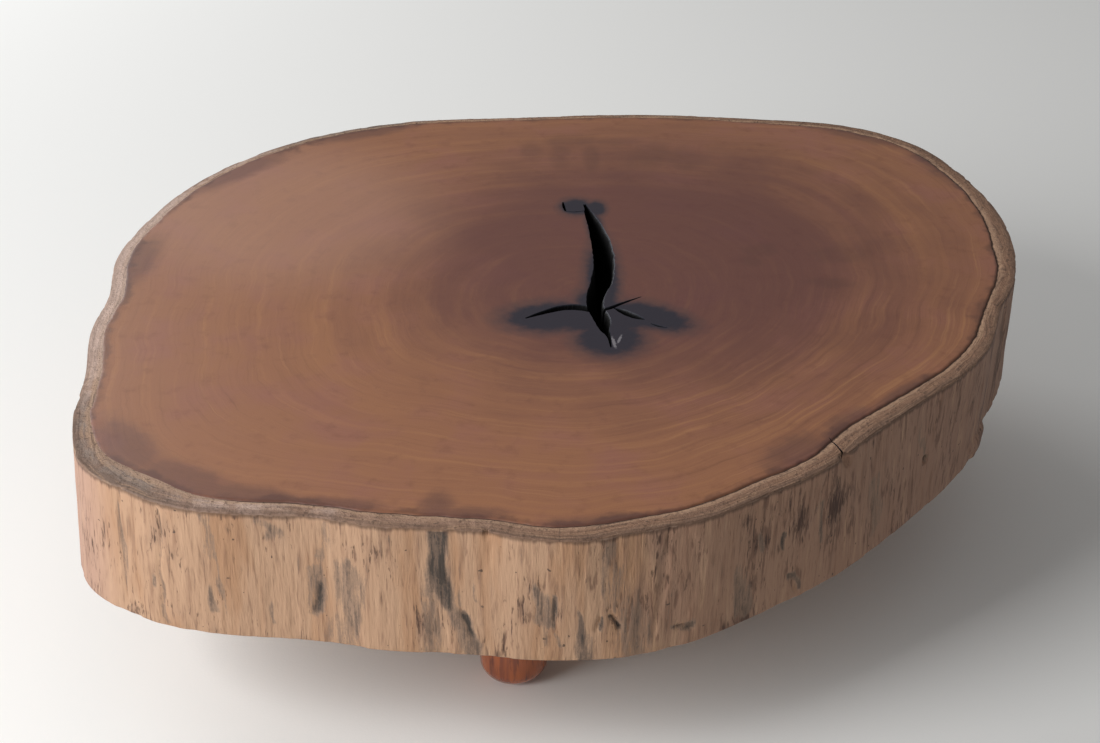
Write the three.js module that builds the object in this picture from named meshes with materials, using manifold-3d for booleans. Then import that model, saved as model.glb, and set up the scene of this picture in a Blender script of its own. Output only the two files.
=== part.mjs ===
// A low coffee table: one thick live-edge slice of a tree trunk on three short turned feet.
// Each foot hangs on a hanger bolt that screws into a threaded insert in the slab's underside.
// Millimetres, +Z up. The origin is on the floor, under the middle of the table.

import * as THREE from 'three';
import { mergeVertices } from 'three/addons/utils/BufferGeometryUtils.js';
import Module from 'manifold-3d';

const wasm = await Module();
wasm.setup();

// Driving dimensions
const SLAB_THICKNESS = 143.5;
const FOOT_HEIGHT = 150;
const FOOT_BASE_RADIUS = 35;
const FOOT_TOP_RADIUS = 36;
const FOOT_EDGE_RADIUS = 22;
const FOOT_COUNT = 3;
const FOOT_CIRCLE_RADIUS = 292;
const FIRST_FOOT_ANGLE = THREE.MathUtils.degToRad(-101.3);
const FOOT_NAMES = ['front', 'right', 'left'];

// Fixings: an M10 hanger bolt and its threaded insert
const BOLT_RADIUS = 5;
const BOLT_LAG_LENGTH = 50;
const BOLT_STUD_LENGTH = 34;
const BOLT_PLAIN_LENGTH = 8;
const BOLT_POINT_LENGTH = 6;
const THREAD_DEPTH = 0.7;
const THREAD_PITCH = 4;
const INSERT_RADIUS = 8;
const INSERT_LENGTH = 25;
const INSERT_FLANGE = 2;

// Clearances: between faces that meet, round a fixing, and past a fixing's end
const JOINT_GAP = 0.3;
const HOLE_CLEARANCE = 0.4;
const HOLE_END_CLEARANCE = 3;
const CUTTER_OVERRUN = 1;

// Edges and fineness
const SLAB_ARRIS = 3;
const SLAB_SIDE_STEPS = 4;
const OUTLINE_STEPS = 200;
const FOOT_TOP_ARRIS = 2;
const FOOT_EDGE_STEPS = 8;
const FOOT_SEGMENTS = 40;
const HOLE_SEGMENTS = 24;
const FIXING_SEGMENTS = 12;

// Crack: its depth, and its floor's width as a share of its mouth's
const CRACK_DEPTH = 118;
const CRACK_FLOOR_SHARE = 0.35;

// The slab's plan outline, anticlockwise from the front left corner: x, y and how far the
// bottom edge stands outside the top edge there.
const OUTLINE = [
  [-487, -265, 6], [-465, -345, 6], [-410, -395, 4], [-350, -424, -2], [-240, -435, 1],
  [-180, -450, 0], [-80, -460, -1], [-45, -470, -5], [5, -475, -9], [60, -460, -1],
  [120, -440, -5], [180, -400, -5], [245, -350, -4], [290, -295, 3], [340, -240, 0],
  [400, -175, -8], [435, -120, -9], [460, -40, -6], [490, 40, -3], [500, 125, -3],
  [495, 205, -3], [470, 300, -2], [425, 385, 0], [350, 440, 0], [235, 462, 0],
  [100, 475, 0], [-80, 465, 0], [-200, 452, 0], [-300, 413, 0], [-375, 355, 0],
  [-435, 280, 0], [-475, 190, 0], [-500, 85, 0], [-495, -10, 0], [-500, -90, 0],
  [-490, -180, 2],
];

// The crack is one wide split with narrow branches. Each runs through its points: x, y and
// half its width there.
const CRACK_BRANCHES = [
  [[24, 206, 5], [30, 186, 8], [32, 158, 9], [36, 115, 9], [39, 73, 9.5], [38, 35, 10.5],
    [31, -5, 10.5], [28, -34, 9], [33, -61, 8], [36, -80, 6], [40, -100, 4], [44, -128, 1]],
  [[33, -44, 5], [8, -35, 4.5], [-9, -38, 4], [-28, -49, 3], [-46, -60, 1]],
  [[28, -46, 4.5], [51, -42, 3.5], [76, -60, 2.2], [102, -78, 0.8]],
];

const SLAB_BOTTOM = FOOT_HEIGHT + JOINT_GAP;
const SLAB_TOP = SLAB_BOTTOM + SLAB_THICKNESS;
const BOLT_BOTTOM = FOOT_HEIGHT - BOLT_LAG_LENGTH - BOLT_PLAIN_LENGTH;

const WOOD_TOP = { color: 0x7a5138, roughness: 0.42, metalness: 0 };
const WOOD_FOOT = { color: 0x6f3a26, roughness: 0.28, metalness: 0 };
const ZINC = { color: 0xb9bcbd, roughness: 0.38, metalness: 1 };
const BRASS = { color: 0xb8965a, roughness: 0.35, metalness: 1 };

const part = new THREE.Group();
part.name = 'wood_slice_table';

// A closed geometry with shared vertices, ready for a boolean.
function toSolid(geometry) {
  const bare = geometry.clone();
  bare.deleteAttribute('normal');
  bare.deleteAttribute('uv');
  const merged = mergeVertices(bare, 1e-4);
  return new wasm.Manifold(new wasm.Mesh({
    numProp: 3,
    vertProperties: new Float32Array(merged.attributes.position.array),
    triVerts: new Uint32Array(merged.index.array),
  }));
}

function toGeometry(solid) {
  const mesh = solid.getMesh();
  const geometry = new THREE.BufferGeometry();
  geometry.setAttribute('position', new THREE.BufferAttribute(mesh.vertProperties, 3));
  geometry.setIndex(new THREE.BufferAttribute(mesh.triVerts, 1));
  geometry.computeVertexNormals();
  return geometry;
}

function addPart(name, geometry, finish) {
  const mesh = new THREE.Mesh(geometry, new THREE.MeshStandardMaterial(finish));
  mesh.name = name;
  part.add(mesh);
  return mesh;
}

// A turned shape from its profile of radius and height, standing on +Z.
function turned(profile, segments) {
  const points = profile.map(([radius, height]) => new THREE.Vector2(radius, height));
  const geometry = new THREE.LatheGeometry(points, segments);
  geometry.rotateX(Math.PI / 2);
  return geometry;
}

// The closed plan curve, with the bottom edge's flare carried in Z.
function outlineCurve() {
  const points = OUTLINE.map(([x, y, flare]) => new THREE.Vector3(x, y, flare));
  return new THREE.CatmullRomCurve3(points, true, 'centripetal');
}

// Flare at the outline point that lies in the same direction from the middle.
function flareLookup(curvePoints) {
  return (x, y) => {
    const angle = Math.atan2(y, x);
    let nearest = curvePoints[0];
    let least = Infinity;
    for (const point of curvePoints) {
      const turn = Math.abs(Math.atan2(point.y, point.x) - angle);
      const gap = Math.min(turn, 2 * Math.PI - turn);
      if (gap < least) {
        least = gap;
        nearest = point;
      }
    }
    return nearest.z;
  };
}

// The slab before the crack is cut: an extruded outline with eased edges, whose side leans
// out or in towards the bottom.
function slabBlank() {
  const curvePoints = outlineCurve().getPoints(OUTLINE_STEPS).slice(0, -1);
  const shape = new THREE.Shape(curvePoints.map((point) => new THREE.Vector2(point.x, point.y)));
  const blank = new THREE.ExtrudeGeometry(shape, {
    depth: SLAB_THICKNESS - 2 * SLAB_ARRIS,
    steps: SLAB_SIDE_STEPS,
    bevelEnabled: true,
    bevelThickness: SLAB_ARRIS,
    bevelSize: SLAB_ARRIS,
    bevelOffset: -SLAB_ARRIS,
    bevelSegments: 2,
  });
  blank.translate(0, 0, SLAB_BOTTOM + SLAB_ARRIS);
  const flareAt = flareLookup(curvePoints);
  const position = blank.attributes.position;
  for (let i = 0; i < position.count; i += 1) {
    const x = position.getX(i);
    const y = position.getY(i);
    const fall = (SLAB_TOP - position.getZ(i)) / SLAB_THICKNESS;
    const scale = 1 + (flareAt(x, y) * fall) / Math.hypot(x, y);
    position.setXY(i, x * scale, y * scale);
  }
  return blank;
}

// One branch of the crack as a blade that narrows towards its floor.
function crackBlade(branch) {
  const spine = branch.map(([x, y]) => new THREE.Vector2(x, y));
  const left = [];
  const right = [];
  spine.forEach((point, i) => {
    const before = spine[Math.max(i - 1, 0)];
    const after = spine[Math.min(i + 1, spine.length - 1)];
    const along = after.clone().sub(before).normalize();
    const across = new THREE.Vector2(-along.y, along.x).multiplyScalar(branch[i][2]);
    left.push(point.clone().add(across));
    right.push(point.clone().sub(across));
  });
  const shape = new THREE.Shape([...right, ...left.reverse()]);
  const blade = new THREE.ExtrudeGeometry(shape, {
    depth: CRACK_DEPTH + CUTTER_OVERRUN,
    bevelEnabled: false,
  });
  blade.translate(0, 0, SLAB_TOP - CRACK_DEPTH);
  const position = blade.attributes.position;
  for (let i = 0; i < position.count; i += 1) {
    if (position.getZ(i) < SLAB_TOP) {
      const corner = new THREE.Vector2(position.getX(i), position.getY(i));
      const nearest = spine.reduce((a, b) => (
        a.distanceTo(corner) < b.distanceTo(corner) ? a : b
      ));
      corner.lerp(nearest, 1 - CRACK_FLOOR_SHARE);
      position.setXY(i, corner.x, corner.y);
    }
  }
  return toSolid(blade);
}

function footCentre(index) {
  const angle = FIRST_FOOT_ANGLE + (index * 2 * Math.PI) / FOOT_COUNT;
  return new THREE.Vector2(
    FOOT_CIRCLE_RADIUS * Math.cos(angle),
    FOOT_CIRCLE_RADIUS * Math.sin(angle),
  );
}

// A blind hole's cutter: it starts a little outside the face that it opens through.
function holeCutter(radius, bottom, top, centre) {
  const cutter = new THREE.CylinderGeometry(radius, radius, top - bottom, HOLE_SEGMENTS);
  cutter.rotateX(Math.PI / 2);
  cutter.translate(centre.x, centre.y, (bottom + top) / 2);
  return toSolid(cutter);
}

function buildSlab() {
  let slab = toSolid(slabBlank());
  for (const branch of CRACK_BRANCHES) {
    slab = slab.subtract(crackBlade(branch));
  }
  const holeBottom = SLAB_BOTTOM - CUTTER_OVERRUN;
  const holeTop = FOOT_HEIGHT + BOLT_STUD_LENGTH + HOLE_END_CLEARANCE;
  for (let i = 0; i < FOOT_COUNT; i += 1) {
    const radius = INSERT_RADIUS + HOLE_CLEARANCE;
    slab = slab.subtract(holeCutter(radius, holeBottom, holeTop, footCentre(i)));
  }
  addPart('slab', toGeometry(slab), WOOD_TOP);
}

// A peg with a well rounded lower edge, a little fuller at the top, bored for its bolt.
function buildFoot(index) {
  const profile = [[0, 0]];
  for (let i = 0; i <= FOOT_EDGE_STEPS; i += 1) {
    const turn = (i / FOOT_EDGE_STEPS) * (Math.PI / 2);
    profile.push([
      FOOT_BASE_RADIUS - FOOT_EDGE_RADIUS * (1 - Math.sin(turn)),
      FOOT_EDGE_RADIUS * (1 - Math.cos(turn)),
    ]);
  }
  profile.push([FOOT_TOP_RADIUS, FOOT_HEIGHT - FOOT_TOP_ARRIS]);
  profile.push([FOOT_TOP_RADIUS - FOOT_TOP_ARRIS, FOOT_HEIGHT]);
  profile.push([0, FOOT_HEIGHT]);
  const centre = footCentre(index);
  const peg = turned(profile, FOOT_SEGMENTS);
  peg.translate(centre.x, centre.y, 0);
  const holeBottom = BOLT_BOTTOM - HOLE_END_CLEARANCE;
  const holeTop = FOOT_HEIGHT + CUTTER_OVERRUN;
  const bored = toSolid(peg).subtract(
    holeCutter(BOLT_RADIUS + HOLE_CLEARANCE, holeBottom, holeTop, centre),
  );
  addPart(`foot_${FOOT_NAMES[index]}`, toGeometry(bored), WOOD_FOOT);
}

// Ridges of a thread as a profile, between two heights.
function threadProfile(radius, bottom, top) {
  const turns = Math.floor((top - bottom) / THREAD_PITCH);
  const profile = [];
  for (let i = 0; i < turns; i += 1) {
    profile.push([radius - THREAD_DEPTH, bottom + i * THREAD_PITCH]);
    profile.push([radius, bottom + (i + 0.5) * THREAD_PITCH]);
  }
  profile.push([radius - THREAD_DEPTH, bottom + turns * THREAD_PITCH]);
  return profile;
}

// A hanger bolt: a pointed lag screw below for the foot, a plain neck, and a machine thread
// above for the insert.
function buildBolt(index) {
  const root = BOLT_RADIUS - THREAD_DEPTH;
  const lagTop = FOOT_HEIGHT - BOLT_PLAIN_LENGTH;
  const studTop = FOOT_HEIGHT + BOLT_STUD_LENGTH;
  const bolt = turned([
    [0, BOLT_BOTTOM],
    ...threadProfile(BOLT_RADIUS, BOLT_BOTTOM + BOLT_POINT_LENGTH, lagTop),
    [root, FOOT_HEIGHT],
    ...threadProfile(BOLT_RADIUS, FOOT_HEIGHT + 1, studTop - 1),
    [root, studTop],
    [0, studTop],
  ], FIXING_SEGMENTS);
  const centre = footCentre(index);
  bolt.translate(centre.x, centre.y, 0);
  addPart(`hanger_bolt_${FOOT_NAMES[index]}`, bolt, ZINC);
}

// A threaded insert: a brass sleeve with a flange at its mouth, just inside the slab's underside.
function buildInsert(index) {
  const bore = BOLT_RADIUS + HOLE_CLEARANCE;
  const bottom = SLAB_BOTTOM + JOINT_GAP;
  const top = bottom + INSERT_LENGTH;
  const insert = turned([
    [bore, bottom],
    [INSERT_RADIUS, bottom],
    [INSERT_RADIUS, bottom + INSERT_FLANGE],
    ...threadProfile(INSERT_RADIUS, bottom + INSERT_FLANGE + 1, top - 1),
    [INSERT_RADIUS - THREAD_DEPTH, top],
    [bore, top],
    [bore, bottom],
  ], HOLE_SEGMENTS);
  const centre = footCentre(index);
  insert.translate(centre.x, centre.y, 0);
  addPart(`threaded_insert_${FOOT_NAMES[index]}`, insert, BRASS);
}

buildSlab();
for (let i = 0; i < FOOT_COUNT; i += 1) {
  buildFoot(i);
  buildBolt(i);
  buildInsert(i);
}

export default part;
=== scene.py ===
import math
from bisect import bisect_left
from functools import partial

import bmesh
import bpy
from bpy.props import FloatProperty, FloatVectorProperty, PointerProperty
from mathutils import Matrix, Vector, noise


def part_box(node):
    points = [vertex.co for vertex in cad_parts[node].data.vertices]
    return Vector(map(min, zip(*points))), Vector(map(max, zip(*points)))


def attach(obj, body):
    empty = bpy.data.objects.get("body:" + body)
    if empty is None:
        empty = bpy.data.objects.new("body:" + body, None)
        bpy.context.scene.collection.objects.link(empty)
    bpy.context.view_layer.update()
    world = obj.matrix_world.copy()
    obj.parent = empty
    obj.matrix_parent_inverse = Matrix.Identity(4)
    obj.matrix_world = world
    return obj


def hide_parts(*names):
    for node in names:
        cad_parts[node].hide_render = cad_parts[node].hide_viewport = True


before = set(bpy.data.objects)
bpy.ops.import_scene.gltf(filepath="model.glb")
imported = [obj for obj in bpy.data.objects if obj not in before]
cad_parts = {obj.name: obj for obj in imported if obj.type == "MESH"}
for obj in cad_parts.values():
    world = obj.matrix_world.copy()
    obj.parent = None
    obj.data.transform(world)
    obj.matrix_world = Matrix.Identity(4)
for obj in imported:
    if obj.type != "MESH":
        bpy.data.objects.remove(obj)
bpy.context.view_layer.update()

bl_info = {
    "name": "Wood Slice Coffee Table",
    "version": (1, 0, 0),
    "blender": (4, 5, 0),
    "location": "3D View > Sidebar > Wood Slice",
    "description": "Builds a live-edge wood slice table with its crack, feet and fixings",
    "category": "Add Mesh",
}

SLAB_LOW, SLAB_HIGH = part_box("slab")
THICKNESS = SLAB_HIGH.z - SLAB_LOW.z
FOOT_NAMES = ("front", "right", "left")
MM = 0.001

# Degrees between faces past which an edge is shaded sharp
SHARP_ANGLE = 40

# Room round the bolts and inserts, and past the end of each bolt
FIXING_CLEARANCE = 0.4 * MM
HOLE_END_CLEARANCE = 3 * MM

# Slots of the slab's materials
HEARTWOOD, RIM, SIDE, CRACK, UNDERSIDE = range(5)

# Plan outline in millimetres, anticlockwise from the front left corner: x, y, how far the bottom
# edge stands outside the top edge there, and the width of the bare sapwood rim on top.
OUTLINE = (
    (-487, -265, 6, 17), (-465, -345, 6, 25), (-410, -395, 4, 28), (-350, -424, -2, 22),
    (-240, -435, 1, 18), (-180, -450, 0, 20), (-80, -460, -1, 19), (-45, -470, -5, 20),
    (5, -475, -9, 22), (60, -460, -1, 21), (120, -440, -5, 21), (180, -400, -5, 22),
    (245, -350, -4, 22), (290, -295, 3, 25), (340, -240, 0, 21), (400, -175, -8, 20),
    (435, -120, -9, 20), (460, -40, -6, 17), (490, 40, -3, 20), (500, 125, -3, 24),
    (495, 205, -3, 20), (470, 300, -2, 18), (425, 385, 0, 17), (350, 440, 0, 16),
    (235, 462, 0, 13), (100, 475, 0, 10), (-80, 465, 0, 9), (-200, 452, 0, 9),
    (-300, 413, 0, 10), (-375, 355, 0, 11), (-435, 280, 0, 12), (-475, 190, 0, 13),
    (-500, 85, 0, 14), (-495, -10, 0, 15), (-500, -90, 0, 15), (-490, -180, 2, 16),
)
STATIONS = 1440
PITH = Vector((0.010, -0.005))

# Drop of the bare rim below the varnished top, radius of the lower edge, and how far inside the
# rim the top's growth rings and inside the lower edge the underside's rings begin
RIM_DROP = 1.3 * MM
LOWER_ARRIS = 2.5 * MM
FIELD_INSET = 12 * MM
UNDER_INSET = 14 * MM

# Crack branches in millimetres: depth, then x, y and half the width at each point. Their worn
# lips reach down by LIP_DEPTH.
LIP_DEPTH = 5.0
CRACK_BRANCHES = (
    (115, ((20, 214, 1.5), (22, 204, 2.2), (24, 192, 4), (31, 155, 7), (37, 110, 9.8),
           (39, 62, 10.2), (35, 20, 10.2), (29, -7, 8.8), (28, -35, 7.6), (34, -62, 7.8),
           (37, -85, 4.6), (41, -100, 2.0), (43, -124, 0.6))),
    (80, ((30, -42, 6), (8, -36, 5.5), (-10, -39, 4.6), (-28, -49, 3), (-46, -61, 0.8))),
    (60, ((28, -46, 3.4), (43, -39, 2.5), (57, -28, 1.7), (78, -13, 0.5))),
    (50, ((48, -38, 0.8), (57, -46, 3.9), (72, -59, 3.6), (80, -64, 0.7))),
    (25, ((86, -73, 0.6), (94, -78, 1.5), (103, -82, 0.5))),
    (12, ((-5, 220, 0.8), (-4, 208, 1.5), (-2, 196, 0.9))),
    (6, ((-2, 196, 0.5), (8, 194, 0.7), (20, 197, 0.5))),
    (9, ((249, -301, 0.3), (256, -318, 0.7), (264, -338, 1.0))),
)

# Marks on the front of the side, in millimetres: strength, then x, drop below the top and half
# the width at each point of a run. The first list is grey weathering, the second dents, whose
# strength is their depth. No mark lies further back than MARKS_END, in metres.
MARKS_END = 0.2
SIDE_STAINS = (
    (1.25, ((-124, 0, 8), (-122, 26, 9), (-122, 53, 11), (-120, 72, 12), (-116, 88, 8))),
    (0.85, ((-116, 88, 8), (-108, 95, 8), (-100, 112, 9), (-92, 138, 10))),
    (1.35, ((-100, 98, 2.5), (-93, 120, 3))),
    (0.5, ((-128, 92, 9), (-127, 140, 10))),
    (0.9, ((-103, 68, 2), (-103, 84, 2))),
    (0.8, ((-90, 64, 2), (-87, 82, 2))),
    (0.8, ((-28, 62, 7), (-27, 95, 8))),
    (0.6, ((-26, 95, 3), (-25, 132, 4))),
    (0.95, ((-15, 64, 2.4), (-15, 100, 2.4))),
    (0.7, ((-14, 106, 2), (-13, 128, 2))),
    (0.85, ((5, 78, 2), (8, 104, 3), (11, 118, 6), (12, 140, 8))),
    (1.3, ((29, 93, 1.6), (25, 107, 2.4))),
    (1.3, ((36, 90, 1.6), (44, 108, 2.6))),
    (1.1, ((98, 125, 3), (112, 120, 4.5))),
    (0.42, ((40, 50, 14), (62, 135, 20))),
    (0.45, ((34, 10, 6), (30, 60, 8))),
    (0.62, ((-207, 56, 12), (-205, 92, 14), (-204, 106, 10), (-204, 130, 2))),
    (0.75, ((-206, 42, 4), (-206, 51, 4))),
    (0.6, ((-236, 58, 8), (-238, 92, 10), (-240, 110, 7))),
    (1.2, ((-232, 78, 2.0), (-236, 110, 4.0))),
    (0.6, ((-286, 10, 5), (-272, 22, 6), (-280, 34, 4))),
    (0.55, ((-227, 8, 5), (-228, 42, 6))),
    (0.4, ((-214, 118, 13), (-212, 140, 11))),
    (0.55, ((-337, 3, 4), (-334, 52, 4))),
    (0.8, ((-337, 84, 2.5), (-335, 116, 3))),
    (0.8, ((-281, 103, 2), (-281, 124, 2.4))),
    (0.85, ((-393, 89, 1.8), (-393, 99, 1.8))),
    (0.62, ((-424, 4, 1.6), (-420, 135, 1.4))),
    (0.62, ((-386, 4, 1.6), (-383, 140, 1.4))),
    (0.6, ((-342, 2, 1.6), (-328, 60, 1.8), (-325, 128, 1.6))),
    (0.6, ((156, 84, 8), (166, 132, 10))),
    (1.2, ((203, 56, 2.5), (205, 74, 2.5))),
    (1.0, ((213, 114, 4), (220, 130, 4))),
    (0.8, ((180, 48, 2.5), (178, 66, 2.5))),
    (0.7, ((238, 40, 2), (240, 90, 2))),
    (0.5, ((300, 60, 6), (305, 120, 6))),
    (0.6, ((352, 30, 2), (355, 66, 2))),
    (1.3, ((360, 72, 2.5), (360, 79, 2.5))),
)
SIDE_DENTS = (
    (3.0, ((-78, 0, 1.8), (-78, 8, 1.8))),
    (5.0, ((262, 5, 4), (266, 12, 4))),
    (6.0, ((360, 72, 2.4), (360, 80, 2.4))),
    (3.0, ((29, 94, 1.8), (25, 106, 2.4))),
    (3.5, ((36, 92, 1.8), (43, 107, 2.6))),
    (3.0, ((99, 125, 3), (111, 120, 4))),
    (2.0, ((-233, 82, 2), (-236, 108, 3))),
    (1.6, ((90, 5, 3), (84, 60, 3), (76, 126, 4))),
    (1.5, ((-100, 98, 2.5), (-93, 120, 3))),
    (2.0, ((204, 57, 2.4), (205, 73, 2.4))),
    (2.2, ((214, 115, 3), (219, 129, 3))),
    (1.4, ((-15, 66, 2), (-15, 98, 2))),
    (1.5, ((160, 88, 3), (168, 128, 3))),
    (1.4, ((-424, 4, 1.6), (-420, 135, 1.4))),
    (1.4, ((-386, 4, 1.6), (-383, 140, 1.4))),
    (-4.5, ((440, 128, 8), (446, 140, 7))),
)


def closed_curve(points, steps):
    """Centripetal curve through a ring of points, with this many steps between neighbours."""
    curve = []
    count = len(points)
    for i in range(count):
        p0, p1, p2, p3 = (points[(i + k) % count] for k in (-1, 0, 1, 2))
        curve += spline_span(p0, p1, p2, p3, steps)
    return curve


def open_curve(points, steps):
    """Centripetal curve through a row of points."""
    ends = [2 * points[0] - points[1]] + list(points) + [2 * points[-1] - points[-2]]
    curve = []
    for i in range(len(points) - 1):
        curve += spline_span(*ends[i:i + 4], steps)
    return curve + [points[-1]]


def spline_span(p0, p1, p2, p3, steps):
    """One span of a centripetal curve, from p1 up to but not including p2."""
    a, b, c = (math.sqrt((q - p).to_2d().length) for p, q in ((p0, p1), (p1, p2), (p2, p3)))
    start = (p2 - p1) + b * ((p1 - p0) / a - (p2 - p0) / (a + b))
    end = (p2 - p1) + b * ((p3 - p2) / c - (p3 - p1) / (b + c))
    span = []
    for k in range(steps):
        t = k / steps
        t2, t3 = t * t, t * t * t
        span.append((2 * t3 - 3 * t2 + 1) * p1 + (t3 - 2 * t2 + t) * start
                    + (3 * t2 - 2 * t3) * p2 + (t3 - t2) * end)
    return span


def evenly(curve, count):
    """The same closed curve as this many points an equal distance apart."""
    ring = curve + [curve[0]]
    reach = [0.0]
    for p, q in zip(ring, ring[1:]):
        reach.append(reach[-1] + (q - p).to_2d().length)
    points = []
    for k in range(count):
        along = reach[-1] * k / count
        i = max(bisect_left(reach, along), 1)
        points.append(ring[i - 1].lerp(ring[i], (along - reach[i - 1]) / (reach[i] - reach[i - 1])))
    return points


PLAN = evenly(closed_curve([Vector(p) * MM for p in OUTLINE], 24), STATIONS)
EDGE = [Vector((p.x, p.y, SLAB_HIGH.z)) for p in PLAN]
FLARES = [p.z for p in PLAN]


def outward(i):
    """The plan direction that points straight out of the slab at a station."""
    along = EDGE[(i + 2) % STATIONS] - EDGE[i - 2]
    return Vector((along.y, -along.x, 0)).normalized()


NORMALS = [outward(i) for i in range(STATIONS)]


def pith_reach():
    """Angles round the pith and the outline's distance from it there, sorted by angle."""
    spokes = []
    for point in EDGE:
        arm = point.to_2d() - PITH
        spokes.append((math.atan2(arm.y, arm.x), arm.length))
    spokes.sort()
    return [s[0] for s in spokes], [s[1] for s in spokes]


SPOKE_ANGLES, SPOKE_LENGTHS = pith_reach()
MEAN_REACH = sum(SPOKE_LENGTHS) / len(SPOKE_LENGTHS)


def reach_at(angle):
    """The outline's distance from the pith in one direction."""
    return SPOKE_LENGTHS[bisect_left(SPOKE_ANGLES, angle) % STATIONS]


def ring_radius(reach, age):
    """Radius of a growth ring: round near the pith, and shaped like the outline at the bark."""
    return age * (reach * age + MEAN_REACH * (1 - age))


def age_of(x, y):
    """A point's age as a share of the tree's, from its place: the inverse of ring_radius."""
    arm = Vector((x, y)) - PITH
    bend = reach_at(math.atan2(arm.y, arm.x)) - MEAN_REACH
    if abs(bend) < 1e-5:
        return arm.length / MEAN_REACH
    return (math.sqrt(MEAN_REACH ** 2 + 4 * bend * arm.length) - MEAN_REACH) / (2 * bend)


def rough(place, grain, height, seed=0.0):
    """Noise from -1 to 1 whose lumps are this wide across the grain and this tall along it."""
    return noise.noise(Vector((place.x / grain + seed, place.y / grain, place.z / height)))


def smooth(value):
    value = min(max(value, 0.0), 1.0)
    return value * value * (3 - 2 * value)


def spans(runs):
    """The straight spans of some runs of marks, in metres."""
    parts = []
    for strength, points in runs:
        metres = [Vector(p) * MM for p in points]
        parts += [(strength, start, end) for start, end in zip(metres, metres[1:])]
    return parts


STAIN_SPANS = spans(SIDE_STAINS)
DENT_SPANS = spans(SIDE_DENTS)


def mark_at(parts, place):
    """Strength of the strongest mark at a place on the side, softened at the mark's edge."""
    if place.y > MARKS_END:
        return 0.0
    wander = Vector((6 * MM * rough(place, 0.013, 0.03, 51.0),
                     12 * MM * rough(place, 0.02, 0.03, 61.0)))
    spot = Vector((place.x, SLAB_HIGH.z - place.z)) + wander
    best = 0.0
    for strength, start, end in parts:
        reach = 1.5 * max(start.z, end.z)
        if not min(start.x, end.x) - reach < spot.x < max(start.x, end.x) + reach:
            continue
        span = (end - start).to_2d()
        arm = spot - start.to_2d()
        share = min(max(arm.dot(span) / span.length_squared, 0.0), 1.0)
        half_width = start.z + (end.z - start.z) * share
        amount = strength * smooth(1.5 - (arm - span * share).length / half_width)
        if abs(amount) > abs(best):
            best = amount
    return best


def rim_width(i):
    """Width of the bare sapwood rim on top, with its wander."""
    place = EDGE[i]
    wander = noise.noise(Vector((place.x / 0.03, place.y / 0.03, 5.0)))
    ripple = noise.noise(Vector((place.x / 0.009, place.y / 0.009, 6.0)))
    return PLAN[i].w + (1.6 * wander + 0.7 * ripple) * MM


def arris_radius(i):
    """Radius of the worn top edge, with a few bigger chips."""
    place = EDGE[i]
    wear = 2.6 + 1.1 * noise.noise(Vector((place.x / 0.025, place.y / 0.025, 9.0)))
    chip = noise.noise(Vector((place.x / 0.013, place.y / 0.013, 3.0))) - 0.40
    return (wear + 10 * max(chip, 0)) * MM


def step_share(i):
    """Depth of the step from the heartwood down to the rim: full, but slight at the far left."""
    return max(smooth((EDGE[i].x + 0.42) / 0.12), 0.15)


RIM_WIDTHS = [rim_width(i) for i in range(STATIONS)]
ARRIS_RADII = [arris_radius(i) for i in range(STATIONS)]
STEP_SHARES = [step_share(i) for i in range(STATIONS)]


def side_relief(place):
    """How far the debarked side lies inside the outline: hollows, flutes, torn layers, dents."""
    hollow = 1.5 * rough(place, 0.09, 0.4)
    flute = 1.1 * abs(rough(place, 0.018, 0.3, 7.0))
    fibre = 0.5 * abs(rough(place, 0.0065, 0.06, 3.0))
    layer = 1.2 * smooth(0.5 + 6 * rough(place, 0.04, 0.13, 11.0))
    return (max(hollow + flute + fibre + layer - 0.7, 0.2) + mark_at(DENT_SPANS, place)) * MM


def side_point(i, drop):
    """A point of the side, this far below the top at one station."""
    place = EDGE[i] - Vector((0, 0, drop))
    inset = side_relief(place)
    for radius, gap in ((ARRIS_RADII[i], drop), (LOWER_ARRIS, THICKNESS - drop)):
        if gap < radius:
            inset += radius - math.sqrt(radius ** 2 - (radius - gap) ** 2)
    return place + NORMALS[i] * (FLARES[i] * drop / THICKNESS - inset)


def rim_point(i, across):
    """A point of the sapwood rim on top: across is 0 at the worn edge and 1 at the heartwood."""
    start = (side_point(i, RIM_DROP) - EDGE[i]).to_2d().length
    place = EDGE[i] - NORMALS[i] * (start + (RIM_WIDTHS[i] - start) * across)
    grit = 0.5 * rough(place, 0.006, 1.0, 21.0) + 0.4 * rough(place, 0.017, 1.0, 31.0)
    ridge = (0.6 - grit) * MM * smooth(2.5 - abs(across - 0.5) * 5)
    share = 1 - (1 - STEP_SHARES[i]) * smooth((across - 0.3) / 0.6)
    return place - Vector((0, 0, (RIM_DROP - ridge) * share))


def heart_point(i, inset, drop):
    """A point of the varnished top, this far inside the rim."""
    return EDGE[i] - NORMALS[i] * (RIM_WIDTHS[i] + inset) - Vector((0, 0, drop * STEP_SHARES[i]))


def age_point(i, age):
    """A point of the top on one growth ring."""
    arm = heart_point(i, FIELD_INSET, 0.0).to_2d() - PITH
    radius = ring_radius(reach_at(math.atan2(arm.y, arm.x)), age)
    spot = PITH + arm.normalized() * radius
    return Vector((spot.x, spot.y, SLAB_HIGH.z))


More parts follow.
